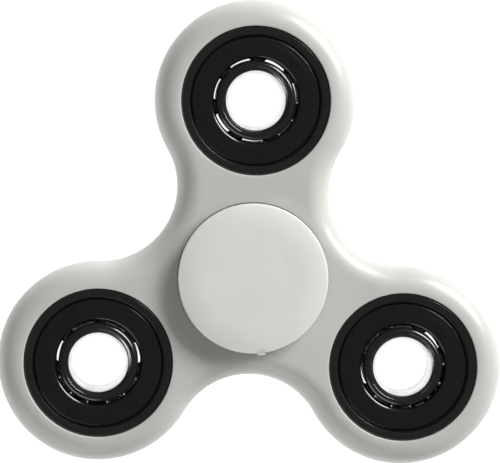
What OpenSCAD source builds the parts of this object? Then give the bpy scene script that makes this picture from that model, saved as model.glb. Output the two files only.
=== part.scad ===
// Three-lobed finger spinner: a moulded body, four deep-groove ball bearings and two press-in thumb caps.
// Millimetres. The origin is the centre of the back cap's flat face, on the spin axis.
// +Z runs along the spin axis and out of the front cap, and +Y points at the top lobe.

/* [Body] */
// Wall of the body outside each lobe's bearing seat
lobe_wall = 3.8; // [3.6:0.1:6]
// Web of the body between the centre seat and a lobe's seat
web = 4; // [2:0.5:12]
// Radius of the hollow between two lobes
waist_r = 11.1; // [8:0.1:20]
// How far the body's faces stand above the bearings' faces
body_proud = 0.25; // [0:0.05:2]
// Straight band at the middle of the body's rounded edge
edge_band = 0.5; // [0.2:0.1:3]

/* [Bearings] */
// Outside diameter of a bearing
bearing_od = 22; // [20:0.5:30]
// Bore of a bearing
bearing_bore = 8; // [5:0.5:10]
// Width of a bearing
bearing_w = 7; // [6.2:0.1:10]
// Diameter of a ball
ball_d = 3.969; // [3.1:0.001:4.8]
// Number of balls in a bearing
ball_count = 7; // [5:1:7]
// Free play between a ball and the bottom of its raceway
ball_play = 0.03; // [0.02:0.01:0.06]
// Depth of each raceway below its ring's shoulder
race_depth = 0.4; // [0.2:0.05:0.5]
// Radius of the outer rings' outer corners
ring_corner_r = 0.45; // [0.1:0.05:0.6]
// Radius of the inner rings' outer corners
inner_corner_r = 0.75; // [0.2:0.05:0.75]
// Radial width of the outer chamfer at the bore's mouths
bore_chamfer = 0.6; // [0.3:0.05:0.65]
// Axial depth of that chamfer
bore_chamfer_depth = 0.7; // [0.3:0.05:1]
// Radial width of the steeper lead-in between that chamfer and the bore's wall
bore_lead = 0.4; // [0.1:0.05:0.4]
// Axial depth of that lead-in
bore_lead_depth = 1.1; // [0.4:0.05:1.2]

/* [Shields] */
// Sheet thickness of a shield
shield_t = 0.28; // [0.2:0.02:0.35]
// How far a shield's face lies below the rings' faces
shield_recess = 0.25; // [0.1:0.05:0.4]
// Radial step in the outer ring that a shield's foot sits on
shield_seat = 0.6; // [0.45:0.05:0.7]
// Open groove between a shield's rim and the outer ring
shield_groove = 0.22; // [0.16:0.02:0.3]
// Free play between a shield's lip and the inner ring
shield_gap = 0.29; // [0.15:0.01:0.4]
// Height of a shield's rim, from its foot to its face
shield_rim = 0.65; // [0.5:0.05:0.8]

/* [Cages] */
// Sheet thickness of a cage half
cage_t = 0.3; // [0.2:0.05:0.4]
// Radial width of a cage
cage_w = 1.7; // [1.2:0.1:2]
// Free play between a ball and its pocket
pocket_play = 0.08; // [0.05:0.01:0.15]
// Diameter of a rivet's shank
rivet_d = 0.6; // [0.4:0.1:0.8]
// Diameter of a rivet's head
rivet_head_d = 1; // [0.8:0.1:1.2]

/* [Thumb caps] */
// Diameter of a cap
cap_d = 22; // [16:0.5:28]
// Thickness of a cap's disc
cap_t = 2.2; // [1.6:0.1:4]
// Gap between a cap's disc and the centre bearing's face
cap_stand_off = 0.8; // [0.6:0.1:2]
// How far the shoulder that holds that gap stays inside the inner ring's outside edge
shoulder_inset = 0.6; // [0.5:0.05:0.8]
// Diameter of the flat middle of a cap's face
cap_flat_d = 14.4; // [8:0.2:15.8]
// How far a cap's face falls from its flat middle to its rim
cap_fall = 0.4; // [0.2:0.05:1.2]
// Diameter of the moulded hollow in a cap's post
post_core_d = 4.2; // [2:0.1:4.5]
// Gap between the tips of the two posts
post_tip_gap = 0.4; // [0.2:0.1:2]
// Width of the moulding gate's stub on a cap's rim
gate_w = 1.2; // [0.8:0.1:2]
// How far that stub stands out of the rim
gate_proud = 0.3; // [0.1:0.05:0.5]

/* [Hidden] */
$fn = 96;
overcut = 1;                 // reach of a cutting shape beyond what it cuts
ball_r = ball_d / 2;
od_r = bearing_od / 2;
bore_r = bearing_bore / 2;
half_w = bearing_w / 2;
pitch_r = (bearing_od + bearing_bore) / 4;
race_r = 1.04 * ball_r;      // a raceway's groove is a little wider than its ball
race_shift = race_r - ball_r - ball_play;
inner_r = pitch_r - ball_r - ball_play + race_depth;   // inner ring's shoulder
outer_r = pitch_r + ball_r + ball_play - race_depth;   // outer ring's shoulder
seat_r = outer_r + shield_seat;
seat_chamfer_r = 0.15;       // chamfer where the outer ring's face meets the shield seat
shield_face = half_w - shield_recess;
shield_foot = shield_face - shield_rim;
shield_lip_r = inner_r + shield_gap;
shield_rim_r = seat_r - shield_groove;
shield_bend_in = 0.7;        // outside radius of the bend at a shield's lip
shield_bend_out = 0.4;       // outside radius of the bend at a shield's rim
shield_fall = 0.06;          // how far the shield's face falls before its rim
shield_fall_w = 0.9;         // width of that sloping band
shield_lip_h = 0.5;          // height of a shield's lip
pocket_r = ball_r + pocket_play;
rivet_head_t = 0.15;
lobe_r = od_r + lobe_wall;
lobe_reach = bearing_od + web;
body_half = half_w + body_proud;
edge_r = body_half - edge_band / 2;
// The hollow between two lobes is a circle that touches both lobes' outlines.
waist_reach = lobe_reach / 2 + sqrt(pow(lobe_r + waist_r, 2) - 0.75 * pow(lobe_reach, 2));
lap = 0.5;                   // how far the body's pieces lap over each other
step = 0.03;                 // the hollow's edge stands this far inside the lobes'
mid_z = half_w + cap_stand_off + cap_t;                // middle of the body, above the back cap's face
cap_r = cap_d / 2;
shoulder_r = inner_r - shoulder_inset;
cap_edge_r = 0.3;            // rounding of a cap's lower edge
cap_curve_r = (pow(cap_r - cap_flat_d / 2, 2) + pow(cap_fall, 2)) / (2 * cap_fall);
post_lead = 0.4;             // chamfer at a post's tip

SITES = ["centre", "top", "left", "right"];
site_angle = [0, 90, 210, 330];
ball_phase = [20, 36, 38, 14];   // where each bearing's first ball stands at rest

// ---- placing ----

// Puts a bearing's piece, drawn around its own centre, at one of the four sites.
module at_site(i) {
    reach = i == 0 ? 0 : lobe_reach;
    translate([reach * cos(site_angle[i]), reach * sin(site_angle[i]), mid_z])
        rotate(ball_phase[i])
            children();
}

// Turns a piece drawn for the front over to the back.
module to_back() rotate([180, 0, 0]) children();

module at_ball(k) {
    rotate(360 * (k - 1) / ball_count) translate([pitch_r, 0, 0]) children();
}

// ---- section helpers, drawn with x as the radius and y as the height ----

module both_faces() {
    children();
    mirror([0, 1]) children();
}

// What a corner at (x, y) loses when it is rounded. sx and sy point out of the material.
module corner_loss(x, y, r, sx, sy) {
    translate([x - sx * r, y - sy * r])
        difference() {
            translate([sx > 0 ? 0 : -r - overcut, sy > 0 ? 0 : -r - overcut])
                square(r + overcut);
            circle(r);
        }
}

// ---- body ----

// Radial section of a lobe, out to its rounded edge.
module lobe_section() {
    difference() {
        translate([0, -body_half]) square([lobe_r, 2 * body_half]);
        both_faces() corner_loss(lobe_r, body_half, edge_r, 1, 1);
    }
}

// Radial section of the rounded edge around the hollow between two lobes, and a strip of the face
// inside it.
module waist_section() {
    difference() {
        translate([waist_r + step, -body_half]) square([edge_r + 2 * lap, 2 * body_half]);
        both_faces() corner_loss(waist_r + step, body_half, edge_r, -1, 1);
    }
}

// The middle of the body, in plan: out past the lobes' centres, less what the rounded edges cover.
module core_plan() {
    difference() {
        polygon([for (a = [0:120:240]) each [
            (lobe_reach + lap) * [cos(a + 90), sin(a + 90)],
            waist_reach * [cos(a + 150), sin(a + 150)]]]);
        for (a = [30:120:270])
            rotate(a) translate([waist_reach, 0]) circle(waist_r + edge_r + lap);
    }
}

// The middle, three lobes and three rounded hollows, each lapping over the next.
module body_blank() {
    lobe_turn = atan2(waist_reach * sin(60), waist_reach * cos(60) - lobe_reach);
    waist_turn = lobe_turn - 60 + 1;
    translate([0, 0, -body_half]) linear_extrude(2 * body_half) core_plan();
    for (a = [90:120:330])
        rotate(a) translate([lobe_reach, 0, 0]) rotate(-lobe_turn)
            rotate_extrude(angle = 2 * lobe_turn) lobe_section();
    for (a = [30:120:270])
        rotate(a) translate([waist_reach, 0, 0]) rotate(180 - waist_turn)
            rotate_extrude(angle = 2 * waist_turn) waist_section();
}

module bearing_seat() {
    cylinder(r = od_r, h = 2 * body_half + 2 * overcut, center = true);
}

module body() {
    color("#cfd1cb")
        translate([0, 0, mid_z])
            difference() {
                body_blank();
                bearing_seat();
                for (i = [1:3])
                    rotate(site_angle[i]) translate([lobe_reach, 0, 0]) bearing_seat();
            }
}

// ---- bearing rings ----

module outer_ring_section() {
    difference() {
        translate([outer_r, -half_w]) square([od_r - outer_r, bearing_w]);
        translate([pitch_r - race_shift, 0]) circle(race_r);
        both_faces() {
            corner_loss(od_r, half_w, ring_corner_r, 1, 1);
            translate([outer_r - overcut, shield_foot])
                square([shield_seat + overcut, half_w - shield_foot + overcut]);
            polygon([[seat_r - overcut, half_w + overcut],
                     [seat_r - overcut, half_w - seat_chamfer_r - overcut],
                     [seat_r + seat_chamfer_r + overcut, half_w + overcut]]);
        }
    }
}

module outer_ring() {
    color("#232326") rotate_extrude() outer_ring_section();
}

// A bore's mouth: a chamfer at the face, then a steeper lead-in down to the wall.
module bore_mouth() {
    chamfer = bore_chamfer_depth / bore_chamfer;
    lead = bore_lead_depth / bore_lead;
    top = half_w - bore_chamfer_depth;
    wide = bore_r + bore_lead;
    polygon([[bore_r - overcut, half_w + overcut],
             [bore_r - overcut, top - bore_lead_depth - overcut * lead],
             [wide, top],
             [wide + bore_chamfer + overcut / chamfer, half_w + overcut]]);
}

module inner_ring_section() {
    difference() {
        translate([bore_r, -half_w]) square([inner_r - bore_r, bearing_w]);
        translate([pitch_r + race_shift, 0]) circle(race_r);
        both_faces() {
            corner_loss(inner_r, half_w, inner_corner_r, 1, 1);
            bore_mouth();
        }
    }
}

module inner_ring() {
    color("#26262a") rotate_extrude() inner_ring_section();
}

// ---- shields: a pressed pan with a bent lip, a rounded rim and a foot crimped in the outer ring ----

module shield_pan(inset) {
    difference() {
        translate([shield_lip_r + inset, shield_foot - overcut])
            square([shield_rim_r - shield_lip_r - 2 * inset, shield_rim + overcut - inset]);
        corner_loss(shield_lip_r + inset, shield_face - inset, shield_bend_in - inset, -1, 1);
        corner_loss(shield_rim_r - inset, shield_face - inset, shield_bend_out - inset, 1, 1);
    }
}

module shield_section() {
    difference() {
        shield_pan(0);
        shield_pan(shield_t);
        translate([shield_rim_r - shield_fall_w, shield_face])
            polygon([[0, 0], [shield_fall_w, -shield_fall], [shield_fall_w, overcut], [0, overcut]]);
        translate([0, shield_foot - 2 * overcut]) square([shield_rim_r + overcut, 2 * overcut]);
        translate([0, shield_foot - overcut])
            square([shield_lip_r + shield_t + overcut, overcut + shield_rim - shield_lip_h]);
    }
    translate([shield_rim_r - shield_t, shield_foot])
        square([seat_r - shield_rim_r + shield_t, shield_t]);
}

module shield() {
    color("#17171a") rotate_extrude() shield_section();
}

// ---- cage: two pressed ribbon halves, riveted together between the balls ----

// A cage half's flat lands, between the balls, with its rivet holes.
module cage_lands() {
    difference() {
        circle(pitch_r + cage_w / 2);
        circle(pitch_r - cage_w / 2);
        for (k = [1:ball_count]) {
            rotate(360 * (k - 1) / ball_count)
                translate([0, -pocket_r - cage_t / 2]) square([bearing_od, 2 * pocket_r + cage_t]);
            rotate(360 * (k - 0.5) / ball_count) translate([pitch_r, 0]) circle(d = rivet_d);
        }
    }
}

// Section of the half tube that a cage half bends into over a ball.
module cage_pocket() {
    difference() {
        circle(pocket_r + cage_t);
        circle(pocket_r);
        translate([-2 * pocket_r, -4 * pocket_r]) square(4 * pocket_r);
    }
}

module cage_half() {
    color("#b9b9b4") {
        linear_extrude(cage_t) cage_lands();
        for (k = [1:ball_count])
            at_ball(k) rotate([90, 0, 90]) linear_extrude(cage_w, center = true) cage_pocket();
    }
}

module cage_rivets() {
    color("#c9c9c4")
        for (k = [1:ball_count])
            rotate(180 / ball_count) at_ball(k) {
                cylinder(d = rivet_d, h = 2 * cage_t, center = true);
                for (up = [0, 180])
                    rotate([up, 0, 0])
                        translate([0, 0, cage_t]) cylinder(d = rivet_head_d, h = rivet_head_t);
            }
}

module balls() {
    color("#d8d8da") for (k = [1:ball_count]) at_ball(k) sphere(ball_r);
}

// ---- thumb caps ----

module cap_disc_section() {
    face = half_w + cap_stand_off + cap_t;
    difference() {
        translate([0, half_w + cap_stand_off]) square([cap_r, cap_t]);
        corner_loss(cap_r, half_w + cap_stand_off, cap_edge_r, 1, -1);
        difference() {
            translate([cap_flat_d / 2, face - cap_t / 2]) square([cap_r, cap_t]);
            translate([cap_flat_d / 2, face - cap_curve_r]) circle(cap_curve_r);
        }
    }
}

module cap_post_section() {
    translate([0, half_w]) square([shoulder_r, cap_stand_off + cap_edge_r]);
    difference() {
        translate([0, post_tip_gap / 2]) square([bore_r, half_w - post_tip_gap / 2 + cap_edge_r]);
        translate([0, post_tip_gap / 2 - overcut])
            square([post_core_d / 2, half_w - post_tip_gap / 2 + overcut]);
        translate([bore_r, post_tip_gap / 2]) rotate(45) square(post_lead * sqrt(2), center = true);
    }
}

// The stub stands on the upper half of the rim, just under the edge of the face.
module cap_gate() {
    root = 0.5;   // how far the stub reaches into the rim
    under_edge = 0.05;
    half_rim = (cap_t - cap_fall) / 2;
    translate([cap_r - root, -gate_w / 2, half_w + cap_stand_off + half_rim])
        cube([root + gate_proud, gate_w, half_rim - under_edge]);
}

// A cap drawn around the middle of the centre bearing, for the front.
module cap(gate_angle) {
    rotate_extrude() {
        cap_disc_section();
        cap_post_section();
    }
    rotate(gate_angle) cap_gate();
}

module front_cap() {
    color("#e6e8e3") translate([0, 0, mid_z]) cap(-83);
}

module back_cap() {
    color("#e6e8e3") translate([0, 0, mid_z]) to_back() cap(-140);
}

// ---- nodes ----

body();
front_cap();
back_cap();

for (i = [0:3]) {
    at_site(i) outer_ring();
    at_site(i) inner_ring();
    at_site(i) shield();
    at_site(i) to_back() shield();
    at_site(i) cage_half();
    at_site(i) to_back() cage_half();
    at_site(i) cage_rivets();
    at_site(i) balls();
}
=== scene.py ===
"""Looks of a three-lobed finger spinner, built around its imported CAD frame.

The spinner lies on its back cap, +Z up, with one lobe towards +Y. Sizes are in millimetres until
they reach Blender, and the driving ones repeat the CAD's, because the frame holds only meshes.
"""

import math

import bmesh
import bpy
from mathutils import Matrix, Vector


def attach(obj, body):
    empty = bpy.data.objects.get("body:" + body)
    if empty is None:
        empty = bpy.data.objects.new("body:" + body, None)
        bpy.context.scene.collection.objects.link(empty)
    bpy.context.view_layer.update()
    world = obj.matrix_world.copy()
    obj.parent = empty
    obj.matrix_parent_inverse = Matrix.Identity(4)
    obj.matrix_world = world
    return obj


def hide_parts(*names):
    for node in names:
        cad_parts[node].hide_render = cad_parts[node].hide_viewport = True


MM = 0.001

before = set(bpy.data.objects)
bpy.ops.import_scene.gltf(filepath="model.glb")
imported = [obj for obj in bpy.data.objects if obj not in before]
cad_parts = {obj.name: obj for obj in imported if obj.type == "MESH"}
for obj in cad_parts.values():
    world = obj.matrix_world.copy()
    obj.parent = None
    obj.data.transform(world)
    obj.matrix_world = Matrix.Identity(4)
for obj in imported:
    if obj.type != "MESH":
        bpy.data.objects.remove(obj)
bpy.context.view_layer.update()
scene = bpy.context.scene

# ---- driving sizes, in millimetres, as in the CAD ----

BEARING_OD = 22.0
BEARING_BORE = 8.0
BEARING_W = 7.0
BALL_D = 3.969
BALL_PLAY = 0.03
RACE_DEPTH = 0.4
WEB = 4.0
LOBE_WALL = 3.8
WAIST_R = 11.1
BODY_PROUD = 0.25
EDGE_BAND = 0.5
CAP_D = 22.0
CAP_T = 2.2
CAP_STAND_OFF = 0.8
CAP_FLAT_D = 14.4
CAP_FALL = 0.4
SHOULDER_INSET = 0.6
POST_TIP_GAP = 0.4
POST_CORE_D = 4.2
GATE_W = 1.2
GATE_PROUD = 0.3
SHIELD_T = 0.28
SHIELD_RECESS = 0.25
SHIELD_SEAT = 0.6
SHIELD_GROOVE = 0.22
SHIELD_GAP = 0.29
SHIELD_RIM = 0.65

# ---- sizes worked out from them ----

HALF_W = BEARING_W / 2
PITCH_R = (BEARING_OD + BEARING_BORE) / 4
INNER_R = PITCH_R - BALL_D / 2 - BALL_PLAY + RACE_DEPTH
OUTER_R = PITCH_R + BALL_D / 2 + BALL_PLAY - RACE_DEPTH
SEAT_R = OUTER_R + SHIELD_SEAT
BODY_HALF = HALF_W + BODY_PROUD
LOBE_R = BEARING_OD / 2 + LOBE_WALL
REACH = BEARING_OD + WEB
EDGE_R = BODY_HALF - EDGE_BAND / 2
WAIST_REACH = REACH / 2 + math.sqrt((LOBE_R + WAIST_R) ** 2 - 0.75 * REACH**2)
MID_Z = HALF_W + CAP_STAND_OFF + CAP_T

SITES = {"centre": None, "top": 90, "left": 210, "right": 330}


def site(name):
    """A bearing's centre, in the row frame, in millimetres."""
    turn = SITES[name]
    if turn is None:
        return Vector((0, 0, MID_Z))
    a = math.radians(turn)
    return Vector((REACH * math.cos(a), REACH * math.sin(a), MID_Z))


# ---- camera ----

VIEW_DISTANCE = 450.0
VIEW_WIDTH = 73.53  # of the bearings' face plane that the picture takes in
VIEW_LEAN = (-2.45, 4.25)  # degrees that the sight line leans towards X and Y
VIEW_ROLL = 1.095
VIEW_AIM = Vector((-0.52, 6.76, MID_Z + HALF_W))


def make_camera():
    lean = Vector((*(math.tan(math.radians(a)) for a in VIEW_LEAN), 1)).normalized()
    roll = math.radians(VIEW_ROLL)
    right = (-lean).cross(Vector((-math.sin(roll), math.cos(roll), 0))).normalized()
    up = right.cross(-lean)
    cam = bpy.data.objects.new("camera", bpy.data.cameras.new("camera"))
    scene.collection.objects.link(cam)
    turn = Matrix((right, up, lean)).transposed().to_4x4()
    cam.matrix_world = Matrix.Translation((VIEW_AIM + VIEW_DISTANCE * lean) * MM) @ turn
    cam.data.sensor_width = 36
    cam.data.lens = 36 * VIEW_DISTANCE / VIEW_WIDTH
    cam.data.clip_start = 0.01
    cam.data.clip_end = 20
    scene.camera = cam


# ---- node materials ----


class Nodes:
    """A new node material with a Principled shader, and short ways to add to it."""

    def __init__(self, name, **sockets):
        self.material = bpy.data.materials.new(name)
        self.material.use_nodes = True
        self.tree = self.material.node_tree
        self.shader = self.tree.nodes["Principled BSDF"]
        for socket, value in sockets.items():
            self.shader.inputs[socket.replace("_", " ")].default_value = value

    def add(self, kind, **inputs):
        node = self.tree.nodes.new(kind)
        for key, value in inputs.items():
            self.feed(node, key.replace("_", " "), value)
        return node

    def feed(self, node, socket, value):
        target = node.inputs[socket]
        if isinstance(value, bpy.types.NodeSocket):
            self.tree.links.new(value, target)
        else:
            target.default_value = value

    def math(self, operation, a, b=0.0):
        node = self.tree.nodes.new("ShaderNodeMath")
        node.operation = operation
        for i, value in enumerate((a, b)):
            if isinstance(value, bpy.types.NodeSocket):
                self.tree.links.new(value, node.inputs[i])
            else:
                node.inputs[i].default_value = value
        return node.outputs[0]

    def place(self):
        """The place on the object, in millimetres."""
        coords = self.tree.nodes.new("ShaderNodeTexCoord").outputs["Object"]
        scale = self.tree.nodes.new("ShaderNodeVectorMath")
        scale.operation = "SCALE"
        scale.inputs["Scale"].default_value = 1 / MM
        self.tree.links.new(coords, scale.inputs[0])
        return scale.outputs[0]

    def noise(self, place, scale, detail=2.0, roughness=0.5):
        sockets = {"Vector": place, "Scale": scale, "Detail": detail, "Roughness": roughness}
        return self.add("ShaderNodeTexNoise", **sockets).outputs["Fac"]

    def ramp(self, value, *stops):
        node = self.add("ShaderNodeValToRGB", Fac=value)
        ends = node.color_ramp.elements
        while len(ends) < len(stops):
            ends.new(0.5)
        for end, (at, colour) in zip(ends, stops):
            end.position = at
            end.color = (*colour, 1)
        return node.outputs["Color"]

    def level(self, value, low, high, to_low, to_high):
        ends = {"From_Min": low, "From_Max": high, "To_Min": to_low, "To_Max": to_high}
        return self.add("ShaderNodeMapRange", Value=value, **ends).outputs["Result"]

    def bump(self, height, distance_mm, strength):
        node = self.add("ShaderNodeBump", Height=height, Strength=strength, Distance=distance_mm * MM)
        return node.outputs["Normal"]

    def set(self, **sockets):
        for socket, value in sockets.items():
            self.feed(self.shader, socket.replace("_", " "), value)


def moulded(name, pale, deep, roughness, subsurface):
    """Milky moulded plastic, with faint flow clouding and a slightly wavy satin skin."""
    n = Nodes(
        name,
        IOR=1.49,
        Roughness=roughness,
        Subsurface_Weight=subsurface,
        Subsurface_Radius=(1.0, 1.0, 0.85),
        Subsurface_Scale=0.0016,
    )
    place = n.place()
    cloud = n.noise(place, 0.11, 3, 0.55)
    n.set(Base_Color=n.ramp(cloud, (0.34, deep), (0.66, pale)))
    n.set(Normal=n.bump(n.noise(place, 0.45, 2), 0.03, 0.35))
    return n.material


def turned_steel(name, colour, roughness, marks, metallic=1.0, shine=0.5):
    """Steel with the fine rings that turning and grinding leave around its axis.

    Blackened steel is not metallic, and shine is then the strength of its reflection.
    """
    n = Nodes(name, Metallic=metallic, IOR=1.6, Specular_IOR_Level=shine)
    place = n.place()
    parts = n.add("ShaderNodeSeparateXYZ", Vector=place)
    x, y = parts.outputs[0], parts.outputs[1]
    radius = n.math("SQRT", n.math("ADD", n.math("MULTIPLY", x, x), n.math("MULTIPLY", y, y)))
    rings = n.add("ShaderNodeTexNoise", Scale=7.0, Detail=3.0)
    rings.noise_dimensions = "1D"
    n.tree.links.new(radius, rings.inputs["W"])
    grain = rings.outputs["Fac"]
    cloud = n.noise(place, 0.5, 3)
    dull = tuple(0.72 * c for c in colour)
    n.set(Base_Color=n.ramp(cloud, (0.3, dull), (0.7, colour)))
    n.set(Roughness=n.level(grain, 0.3, 0.7, roughness - 0.05, roughness + 0.08))
    n.set(Normal=n.bump(grain, marks, 0.6))
    return n.material


# ---- mesh code ----


def link(name, mesh, body, *materials, at=None, replaces=(), slot=None):
    obj = bpy.data.objects.new(name, mesh)
    scene.collection.objects.link(obj)
    for m in materials:
        mesh.materials.append(m)
    if at is not None:
        obj.location = at * MM
    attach(obj, body)
    if replaces:
        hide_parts(*replaces)
    return obj


def mesh_of(name, verts, faces):
    mesh = bpy.data.meshes.new(name)
    mesh.from_pydata([tuple(c * MM for c in v) for v in verts], [], faces)
    mesh.validate()
    bm = bmesh.new()
    bm.from_mesh(mesh)
    bmesh.ops.remove_doubles(bm, verts=bm.verts, dist=1e-8)
    bmesh.ops.recalc_face_normals(bm, faces=bm.faces)
    bm.to_mesh(mesh)
    bm.free()
    for p in mesh.polygons:
        p.use_smooth = True
    return mesh


def sharpen(mesh, degrees):
    """Marks as sharp each edge that turns by more than that angle."""
    limit = math.radians(degrees)
    bm = bmesh.new()
    bm.from_mesh(mesh)
    for e in bm.edges:
        if len(e.link_faces) == 2 and e.calc_face_angle() > limit:
            e.smooth = False
    bm.to_mesh(mesh)
    bm.free()
    return mesh


def arc(cx, cy, r, start, end, steps=8):
    """Points on an arc, from one angle to another in degrees, both ends included."""
    turn = [math.radians(start + (end - start) * i / steps) for i in range(steps + 1)]
    return [(cx + r * math.cos(t), cy + r * math.sin(t)) for t in turn]


def lathe(name, section, segments=192, closed=True, degrees=28):
    """Turns a section of (radius, height) points about Z. Edges over that angle are sharp."""
    verts, faces, count = [], [], len(section)
    for i in range(segments):
        a = 2 * math.pi * i / segments
        verts += [(r * math.cos(a), r * math.sin(a), z) for r, z in section]
    for i in range(segments):
        here, there = i * count, (i + 1) % segments * count
        for k in range(count if closed else count - 1):
            m = (k + 1) % count
            faces.append((here + k, there + k, there + m, here + m))
    return sharpen(mesh_of(name, verts, faces), degrees)


def polish(mesh, bare):
    """Gives the second material to each face that bare(radius, height, outward, upward) picks out."""
    for p in mesh.polygons:
        r = Vector(p.center[:2]).length
        outward = (p.normal.x * p.center.x + p.normal.y * p.center.y) / r
        if bare(r / MM, p.center.z / MM, outward, p.normal.z):
            p.material_index = 1


def flipped(section):
    """The same section for the back."""
    return [(r, -z) for r, z in reversed(section)]


def both_halves(front):
    """Adds the mirrored back to a section that runs from the middle of one wall over the front."""
    return front + flipped(front)


# ---- body ----

EDGE_STEPS = 14
SEAT_STEPS = 128
MOUTH_R = 0.12  # rounding at the mouths of the bearing seats
FLAT_LAP = 0.025  # how far each face's rims reach into its flat, which keeps its shading level
PART_LINE = 0.03  # how far the mould's parting line stands out of the rim


def outline(inset):
    """The body's outline, moved inwards by inset: three lobes and the three hollows between them."""
    half_pitch = math.radians(60)  # from a lobe's direction to the next hollow's
    to_waist = (WAIST_REACH * math.cos(half_pitch) - REACH, WAIST_REACH * math.sin(half_pitch))
    lobe_turn = math.degrees(math.atan2(to_waist[1], to_waist[0]))
    waist_turn = lobe_turn - 60
    points = []
    for k in range(3):
        lobe_at = math.radians(90 + 120 * k)
        waist_at = math.radians(150 + 120 * k)
        lobe = (REACH * math.cos(lobe_at), REACH * math.sin(lobe_at))
        waist = (WAIST_REACH * math.cos(waist_at), WAIST_REACH * math.sin(waist_at))
        out = 90 + 120 * k
        points += arc(*lobe, LOBE_R - inset, out - lobe_turn, out + lobe_turn, 96)[:-1]
        back = 150 + 120 * k + 180
        points += arc(*waist, WAIST_R + inset, back + waist_turn, back - waist_turn, 48)[:-1]
    return points


def edge_profile():
    """(inset, height) points round the body's edge, from the front face to the back."""
    front = [
        (EDGE_R * (1 - math.sin(t)), EDGE_BAND / 2 + EDGE_R * math.cos(t))
        for t in (math.pi / 2 * i / EDGE_STEPS for i in range(EDGE_STEPS + 1))
    ]
    front.insert(0, (EDGE_R + FLAT_LAP, BODY_HALF))
    foot, crest = 0.12, 0.05  # half heights of the parting line's ridge
    seam = [(0, foot), (-PART_LINE, crest), (-PART_LINE, -crest), (0, -foot)]
    return front + seam + flipped(front)


def body_mesh():
    profile = edge_profile()
    rims = [outline(inset) for inset, _ in profile]
    n = len(rims[0])
    verts = [(x, y, z) for rim, (_, z) in zip(rims, profile) for x, y in rim]
    faces = []
    for k in range(len(profile) - 1):
        for i in range(n):
            j = (i + 1) % n
            faces.append((k * n + i, k * n + j, (k + 1) * n + j, (k + 1) * n + i))
    wall = BEARING_OD / 2
    mouth = arc(wall + MOUTH_R, BODY_HALF - MOUTH_R, MOUTH_R, 90, 180, 6)
    mouth.insert(0, (wall + MOUTH_R + FLAT_LAP, BODY_HALF))
    seat = both_halves(mouth)
    m = len(seat)
    for name in SITES:
        c = site(name)
        start = len(verts)
        for i in range(SEAT_STEPS):
            a = 2 * math.pi * i / SEAT_STEPS
            verts += [(c.x + r * math.cos(a), c.y + r * math.sin(a), z) for r, z in seat]
        for i in range(SEAT_STEPS):
            here, there = start + i * m, start + (i + 1) % SEAT_STEPS * m
            faces += [(here + k, here + k + 1, there + k + 1, there + k) for k in range(m - 1)]
    mesh = bpy.data.meshes.new("body_shape")
    mesh.from_pydata([tuple(c * MM for c in v) for v in verts], [], faces)
    bm = bmesh.new()
    bm.from_mesh(mesh)
    for side in (1, -1):
        rim = [e for e in bm.edges if e.is_boundary and all(v.co.z * side > 0 for v in e.verts)]
        bmesh.ops.triangle_fill(bm, edges=rim, use_beauty=True, normal=(0, 0, side))
    bmesh.ops.recalc_face_normals(bm, faces=bm.faces)
    bm.to_mesh(mesh)
    bm.free()
    for p in mesh.polygons:
        p.use_smooth = True
    return mesh


# ---- bearings ----

RING_CORNER = 0.45
INNER_CORNER = 0.75
SHIELD_FACE = HALF_W - SHIELD_RECESS
SHIELD_FOOT = SHIELD_FACE - SHIELD_RIM
LIP_R = INNER_R + SHIELD_GAP
LIP_BEND = 0.7
SHOULDER_TURN = 0.6  # outside radius of the bend between a shield's face and its foot
FACE_STEP = 0.06  # how far a shield's face steps down before that bend
LIP_H = 0.5
RIM_R = SEAT_R - SHIELD_GROOVE
BORE_CHAMFER = (0.6, 0.7)  # outer chamfer of the bore's mouth: width, depth
BORE_LEAD = (0.4, 1.1)  # steeper lead-in between that chamfer and the bore's wall


def race(side):
    """A raceway's groove, top to bottom, in the outer ring for side 1 or the inner one for -1."""
    r = 1.04 * BALL_D / 2
    shift = r - BALL_D / 2 - BALL_PLAY
    centre = PITCH_R - side * shift
    shoulder = OUTER_R if side > 0 else INNER_R
    half = math.degrees(math.acos(abs(shoulder - centre) / r))
    if side > 0:
        return arc(centre, 0, r, half, -half, 16)
    return arc(centre, 0, r, 180 - half, 180 + half, 16)


def outer_ring_section():
    od, c = BEARING_OD / 2, RING_CORNER
    chamfer, crown = 0.15, 0.05
    front = [
        (OUTER_R, SHIELD_FOOT),
        (SEAT_R, SHIELD_FOOT),
        (SEAT_R, HALF_W - chamfer),
        (SEAT_R + crown, HALF_W - crown),
        (SEAT_R + chamfer, HALF_W),
        *arc(od - c, HALF_W - c, c, 90, 0, 7),
    ]
    return both_halves(front) + list(reversed(race(1)))


def inner_ring_section():
    c = INNER_CORNER
    bore = BEARING_BORE / 2
    wide, deep = BORE_CHAMFER
    lead, lead_deep = BORE_LEAD
    neck = bore + lead
    mouth = neck + wide
    front = [
        *arc(INNER_R - c, HALF_W - c, c, 0, 90, 7),
        (mouth + 0.06, HALF_W),  # three points round the mouth's edge
        (mouth + 0.005, HALF_W - 0.02),
        (mouth - 0.045, HALF_W - 0.065),
        (neck + 0.04, HALF_W - deep + 0.05),
        (neck, HALF_W - deep),
        (bore, HALF_W - deep - lead_deep),
    ]
    return both_halves(front) + list(reversed(race(-1)))


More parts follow.
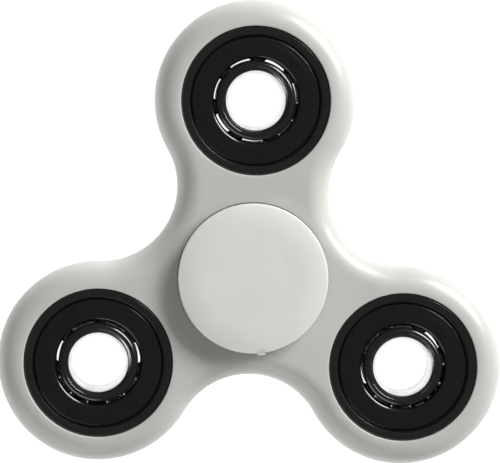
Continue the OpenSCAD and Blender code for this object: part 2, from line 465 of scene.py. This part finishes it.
def shield_section():
    t = SHIELD_T
    lip, rim, face = LIP_R, RIM_R, SHIELD_FACE
    low = face - FACE_STEP
    bend = LIP_BEND
    bend_at = (lip + bend, face - bend)
    hem = bend - LIP_H  # from the lip's lower edge down to the bend's centre
    hem_out = 180 - math.degrees(math.asin(hem / bend))
    hem_in = 180 - math.degrees(math.asin(hem / (bend - t)))
    turn = SHOULDER_TURN
    end = math.asin(1 - (low - SHIELD_FOOT - t - 0.1) / turn)  # a little above the foot
    inner_turn = 0.4
    root = 0.06  # of the corner between the shoulder and the foot
    outside = [
        *arc(*bend_at, bend, hem_out, 90, 10),
        (rim - 0.98, face),  # the step down to the shoulder, softened at both edges
        (rim - 0.94, face - 0.1 * FACE_STEP),
        (rim - 0.84, low + 0.1 * FACE_STEP),
        (rim - 0.8, low),
        *arc(rim - turn * math.cos(end), low - turn, turn, 90, math.degrees(end), 8),
        (rim, SHIELD_FOOT + t + root),
        (rim + root, SHIELD_FOOT + t),
        (SEAT_R, SHIELD_FOOT + t),
        (SEAT_R, SHIELD_FOOT),
    ]
    inside = [
        (rim - t, SHIELD_FOOT),
        *arc(rim - inner_turn, low - inner_turn, inner_turn - t, 0, 90, 4),
        (rim - 0.9, face - t),
        *arc(*bend_at, bend - t, 90, hem_in, 6),
    ]
    return outside + inside


# ---- thumb caps ----


def cap_section():
    """A cap's half section: the thumb face, rim, underside, shoulder and hollow post."""
    under = HALF_W + CAP_STAND_OFF
    face = under + CAP_T
    rim = CAP_D / 2
    flat = CAP_FLAT_D / 2
    curve = ((rim - flat) ** 2 + CAP_FALL**2) / (2 * CAP_FALL)
    bore = BEARING_BORE / 2
    tip = POST_TIP_GAP / 2
    sink, sink_w = 0.012, 0.5  # the faint hollow that the post's wall pulls in the face
    sink_at, sink_reach, sink_steps = 5.35, 2.2 * sink_w, 6
    points = [(0, face), (1.5, face)]
    for i in range(2 * sink_steps + 1):
        off = (i / sink_steps - 1) * sink_reach
        points.append((sink_at + off, face - sink * math.exp(-((off / sink_w) ** 2))))
    edge, dome_steps = 0.16, 24
    for i in range(dome_steps + 1):
        r = flat + (rim - edge - flat) * i / dome_steps
        points.append((r, face - curve + math.sqrt(curve**2 - (r - flat) ** 2)))
    dome_end = points[-1][1]
    points += arc(rim - edge, dome_end - edge, edge, 62, 0, 5)
    low_edge = 0.3
    points += [(rim, under + 0.5), *arc(rim - low_edge, under + low_edge, low_edge, 0, -90, 6)]
    shoulder, fillet = INNER_R - SHOULDER_INSET, 0.25
    points += [
        (shoulder + fillet, under),
        (shoulder + 0.06, under - 0.08),
        (shoulder, under - fillet),
        (shoulder, HALF_W),
    ]
    lead = 0.4
    points += [(bore, HALF_W), (bore, tip + lead), (bore - lead, tip)]
    core, break_edge, draft = POST_CORE_D / 2, 0.1, 0.12
    points += [
        (core + break_edge, tip),
        (core, tip + break_edge),
        (core - draft, HALF_W),
        (0, HALF_W),
    ]
    return points


def cap_mesh(name, front, gate_turn):
    """A cap, with the stub of its moulding gate on the rim."""
    section = cap_section()
    if not front:
        section = flipped(section)
    mesh = lathe(name, section, 256, closed=False, degrees=32)
    side = 1 if front else -1
    half_rim = (CAP_T - CAP_FALL) / 2
    low = HALF_W + CAP_STAND_OFF + half_rim
    root, under_edge, rounding = 0.5, 0.05, 0.09
    bm = bmesh.new()
    bm.from_mesh(mesh)
    stub = bmesh.ops.create_cube(bm, size=1)["verts"]
    size = (root + GATE_PROUD, GATE_W, half_rim - under_edge)
    for v in stub:
        v.co = Vector([c * d for c, d in zip(v.co, size)])
        v.co += Vector((CAP_D / 2 - root + size[0] / 2, 0, side * (low + size[2] / 2)))
        v.co *= MM
    edges = list(dict.fromkeys(e for v in stub for e in v.link_edges))
    made = bmesh.ops.bevel(
        bm, geom=edges, offset=rounding * MM, segments=3, affect="EDGES", profile=0.5
    )
    stub = list(dict.fromkeys(v for f in made["faces"] for v in f.verts))
    turn = Matrix.Rotation(math.radians(gate_turn), 3, "Z")
    bmesh.ops.rotate(bm, verts=stub, cent=(0, 0, 0), matrix=turn)
    for f in bm.faces:
        f.smooth = True
    bm.to_mesh(mesh)
    bm.free()
    return mesh


# ---- build ----

make_camera()

body_plastic = moulded("body_plastic", (0.50, 0.512, 0.48), (0.475, 0.487, 0.455), 0.30, 0.35)
cap_plastic = moulded("cap_plastic", (0.665, 0.675, 0.645), (0.64, 0.65, 0.62), 0.42, 0.35)
ring_steel = turned_steel("ring_steel", (0.0085, 0.0083, 0.0087), 0.15, 0.006, 0.0, 0.5)
shield_steel = turned_steel("shield_steel", (0.0056, 0.0056, 0.006), 0.15, 0.004, 0.0, 0.4)
ground_steel = turned_steel("ground_steel", (0.90, 0.90, 0.90), 0.16, 0.001)
ball_steel = turned_steel("ball_steel", (0.62, 0.62, 0.63), 0.12, 0.001)
cage_steel = turned_steel("cage_steel", (0.42, 0.42, 0.41), 0.35, 0.003)

link("body_shell", body_mesh(), "rotor", body_plastic,
     at=site("centre"), replaces=["body"], slot="body_plastic")

outer = lathe("outer_ring_shape", outer_ring_section())
inner = lathe("inner_ring_shape", inner_ring_section())
front_shield = lathe("front_shield_shape", shield_section())
back_shield = lathe("back_shield_shape", flipped(shield_section()))
for shapes, finish in (((outer, inner), ring_steel), ((front_shield, back_shield), shield_steel)):
    for shape in shapes:
        shape.materials.append(finish)
        shape.materials.append(ground_steel)


def bare_outer(r, z, out, up):
    return r < OUTER_R + 0.05


def bare_inner(r, z, out, up):
    in_bore = r < BEARING_BORE / 2 + BORE_LEAD[0]
    return in_bore or (out > 0 and abs(z) < HALF_W - INNER_CORNER)


def bare_shield(side):
    """A test for the faces inside the bearing, of a front shield for side 1 or a back one for -1."""

    def bare(r, z, out, up):
        behind_lip = out > 0.5 and r < LIP_R + 0.4
        behind_rim = out < -0.5 and r > RIM_R - 0.45
        return up * side < -0.2 or behind_lip or behind_rim

    return bare


polish(outer, bare_outer)
polish(inner, bare_inner)
polish(front_shield, bare_shield(1))
polish(back_shield, bare_shield(-1))

for name in SITES:
    inner_body = "grip" if name == "centre" else f"{name}_inner"
    for kind, shape, body, slot in (
        ("outer_ring", outer, "rotor", "bearing_steel"),
        ("inner_ring", inner, inner_body, "bearing_steel"),
        ("front_shield", front_shield, "rotor", "shield_steel"),
        ("back_shield", back_shield, "rotor", "shield_steel"),
    ):
        node = f"{name}_{kind}"
        link(f"{node}_turned", shape, body, at=site(name), replaces=[node], slot=slot)
    for kind, steel in (
        ("balls", ball_steel),
        ("front_cage", cage_steel),
        ("back_cage", cage_steel),
        ("cage_rivets", cage_steel),
    ):
        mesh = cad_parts[f"{name}_{kind}"].data
        mesh.materials.clear()
        mesh.materials.append(steel)

link("front_cap_moulding", cap_mesh("front_cap_shape", True, -83), "grip", cap_plastic,
     at=site("centre"), replaces=["front_cap"], slot="cap_plastic")
link("back_cap_moulding", cap_mesh("back_cap_shape", False, 140), "grip", cap_plastic,
     at=site("centre"), replaces=["back_cap"], slot="cap_plastic")


# ---- floor, lights and background ----


def make_floor():
    bpy.ops.mesh.primitive_plane_add(size=6)
    floor = bpy.context.object
    floor.name = "floor"
    floor.location.z = -0.05 * MM  # just clear of the back cap's face
    n = Nodes("floor_paper", Roughness=0.9, Specular_IOR_Level=0.1)
    place = n.place()
    shades = (0.3, (0.34, 0.34, 0.34)), (0.7, (0.37, 0.37, 0.37))
    n.set(Base_Color=n.ramp(n.noise(place, 0.02, 2), *shades))
    n.set(Emission_Color=(1, 1, 1, 1), Emission_Strength=0.97)
    floor.data.materials.append(n.material)


def area_light(name, azimuth, elevation, distance, size, power):
    """A softbox that looks at the spinner from that azimuth, counted from +X, and elevation."""
    a, e = math.radians(azimuth), math.radians(elevation)
    data = bpy.data.lights.new(name, "AREA")
    data.shape = "RECTANGLE"
    data.size, data.size_y = size
    data.energy = power
    lamp = bpy.data.objects.new(name, data)
    toward = Vector((math.cos(a) * math.cos(e), math.sin(a) * math.cos(e), math.sin(e)))
    lamp.location = toward * distance
    lamp.rotation_euler = (-lamp.location).to_track_quat("-Z", "Y").to_euler()
    scene.collection.objects.link(lamp)


make_floor()
area_light("key", 42, 28, 0.9, (0.6, 0.3), 12.5)
area_light("fill", 240, 20, 1.2, (1.2, 0.8), 7.2)
area_light("glint", 46, 46, 0.9, (0.2, 0.025), 0.45)
world = bpy.data.worlds.new("studio")
world.use_nodes = True
sky = world.node_tree.nodes["Background"]
sky.inputs["Color"].default_value = (1, 1, 1, 1)
sky.inputs["Strength"].default_value = 0.17
scene.world = world
scene.view_settings.view_transform = "Standard"
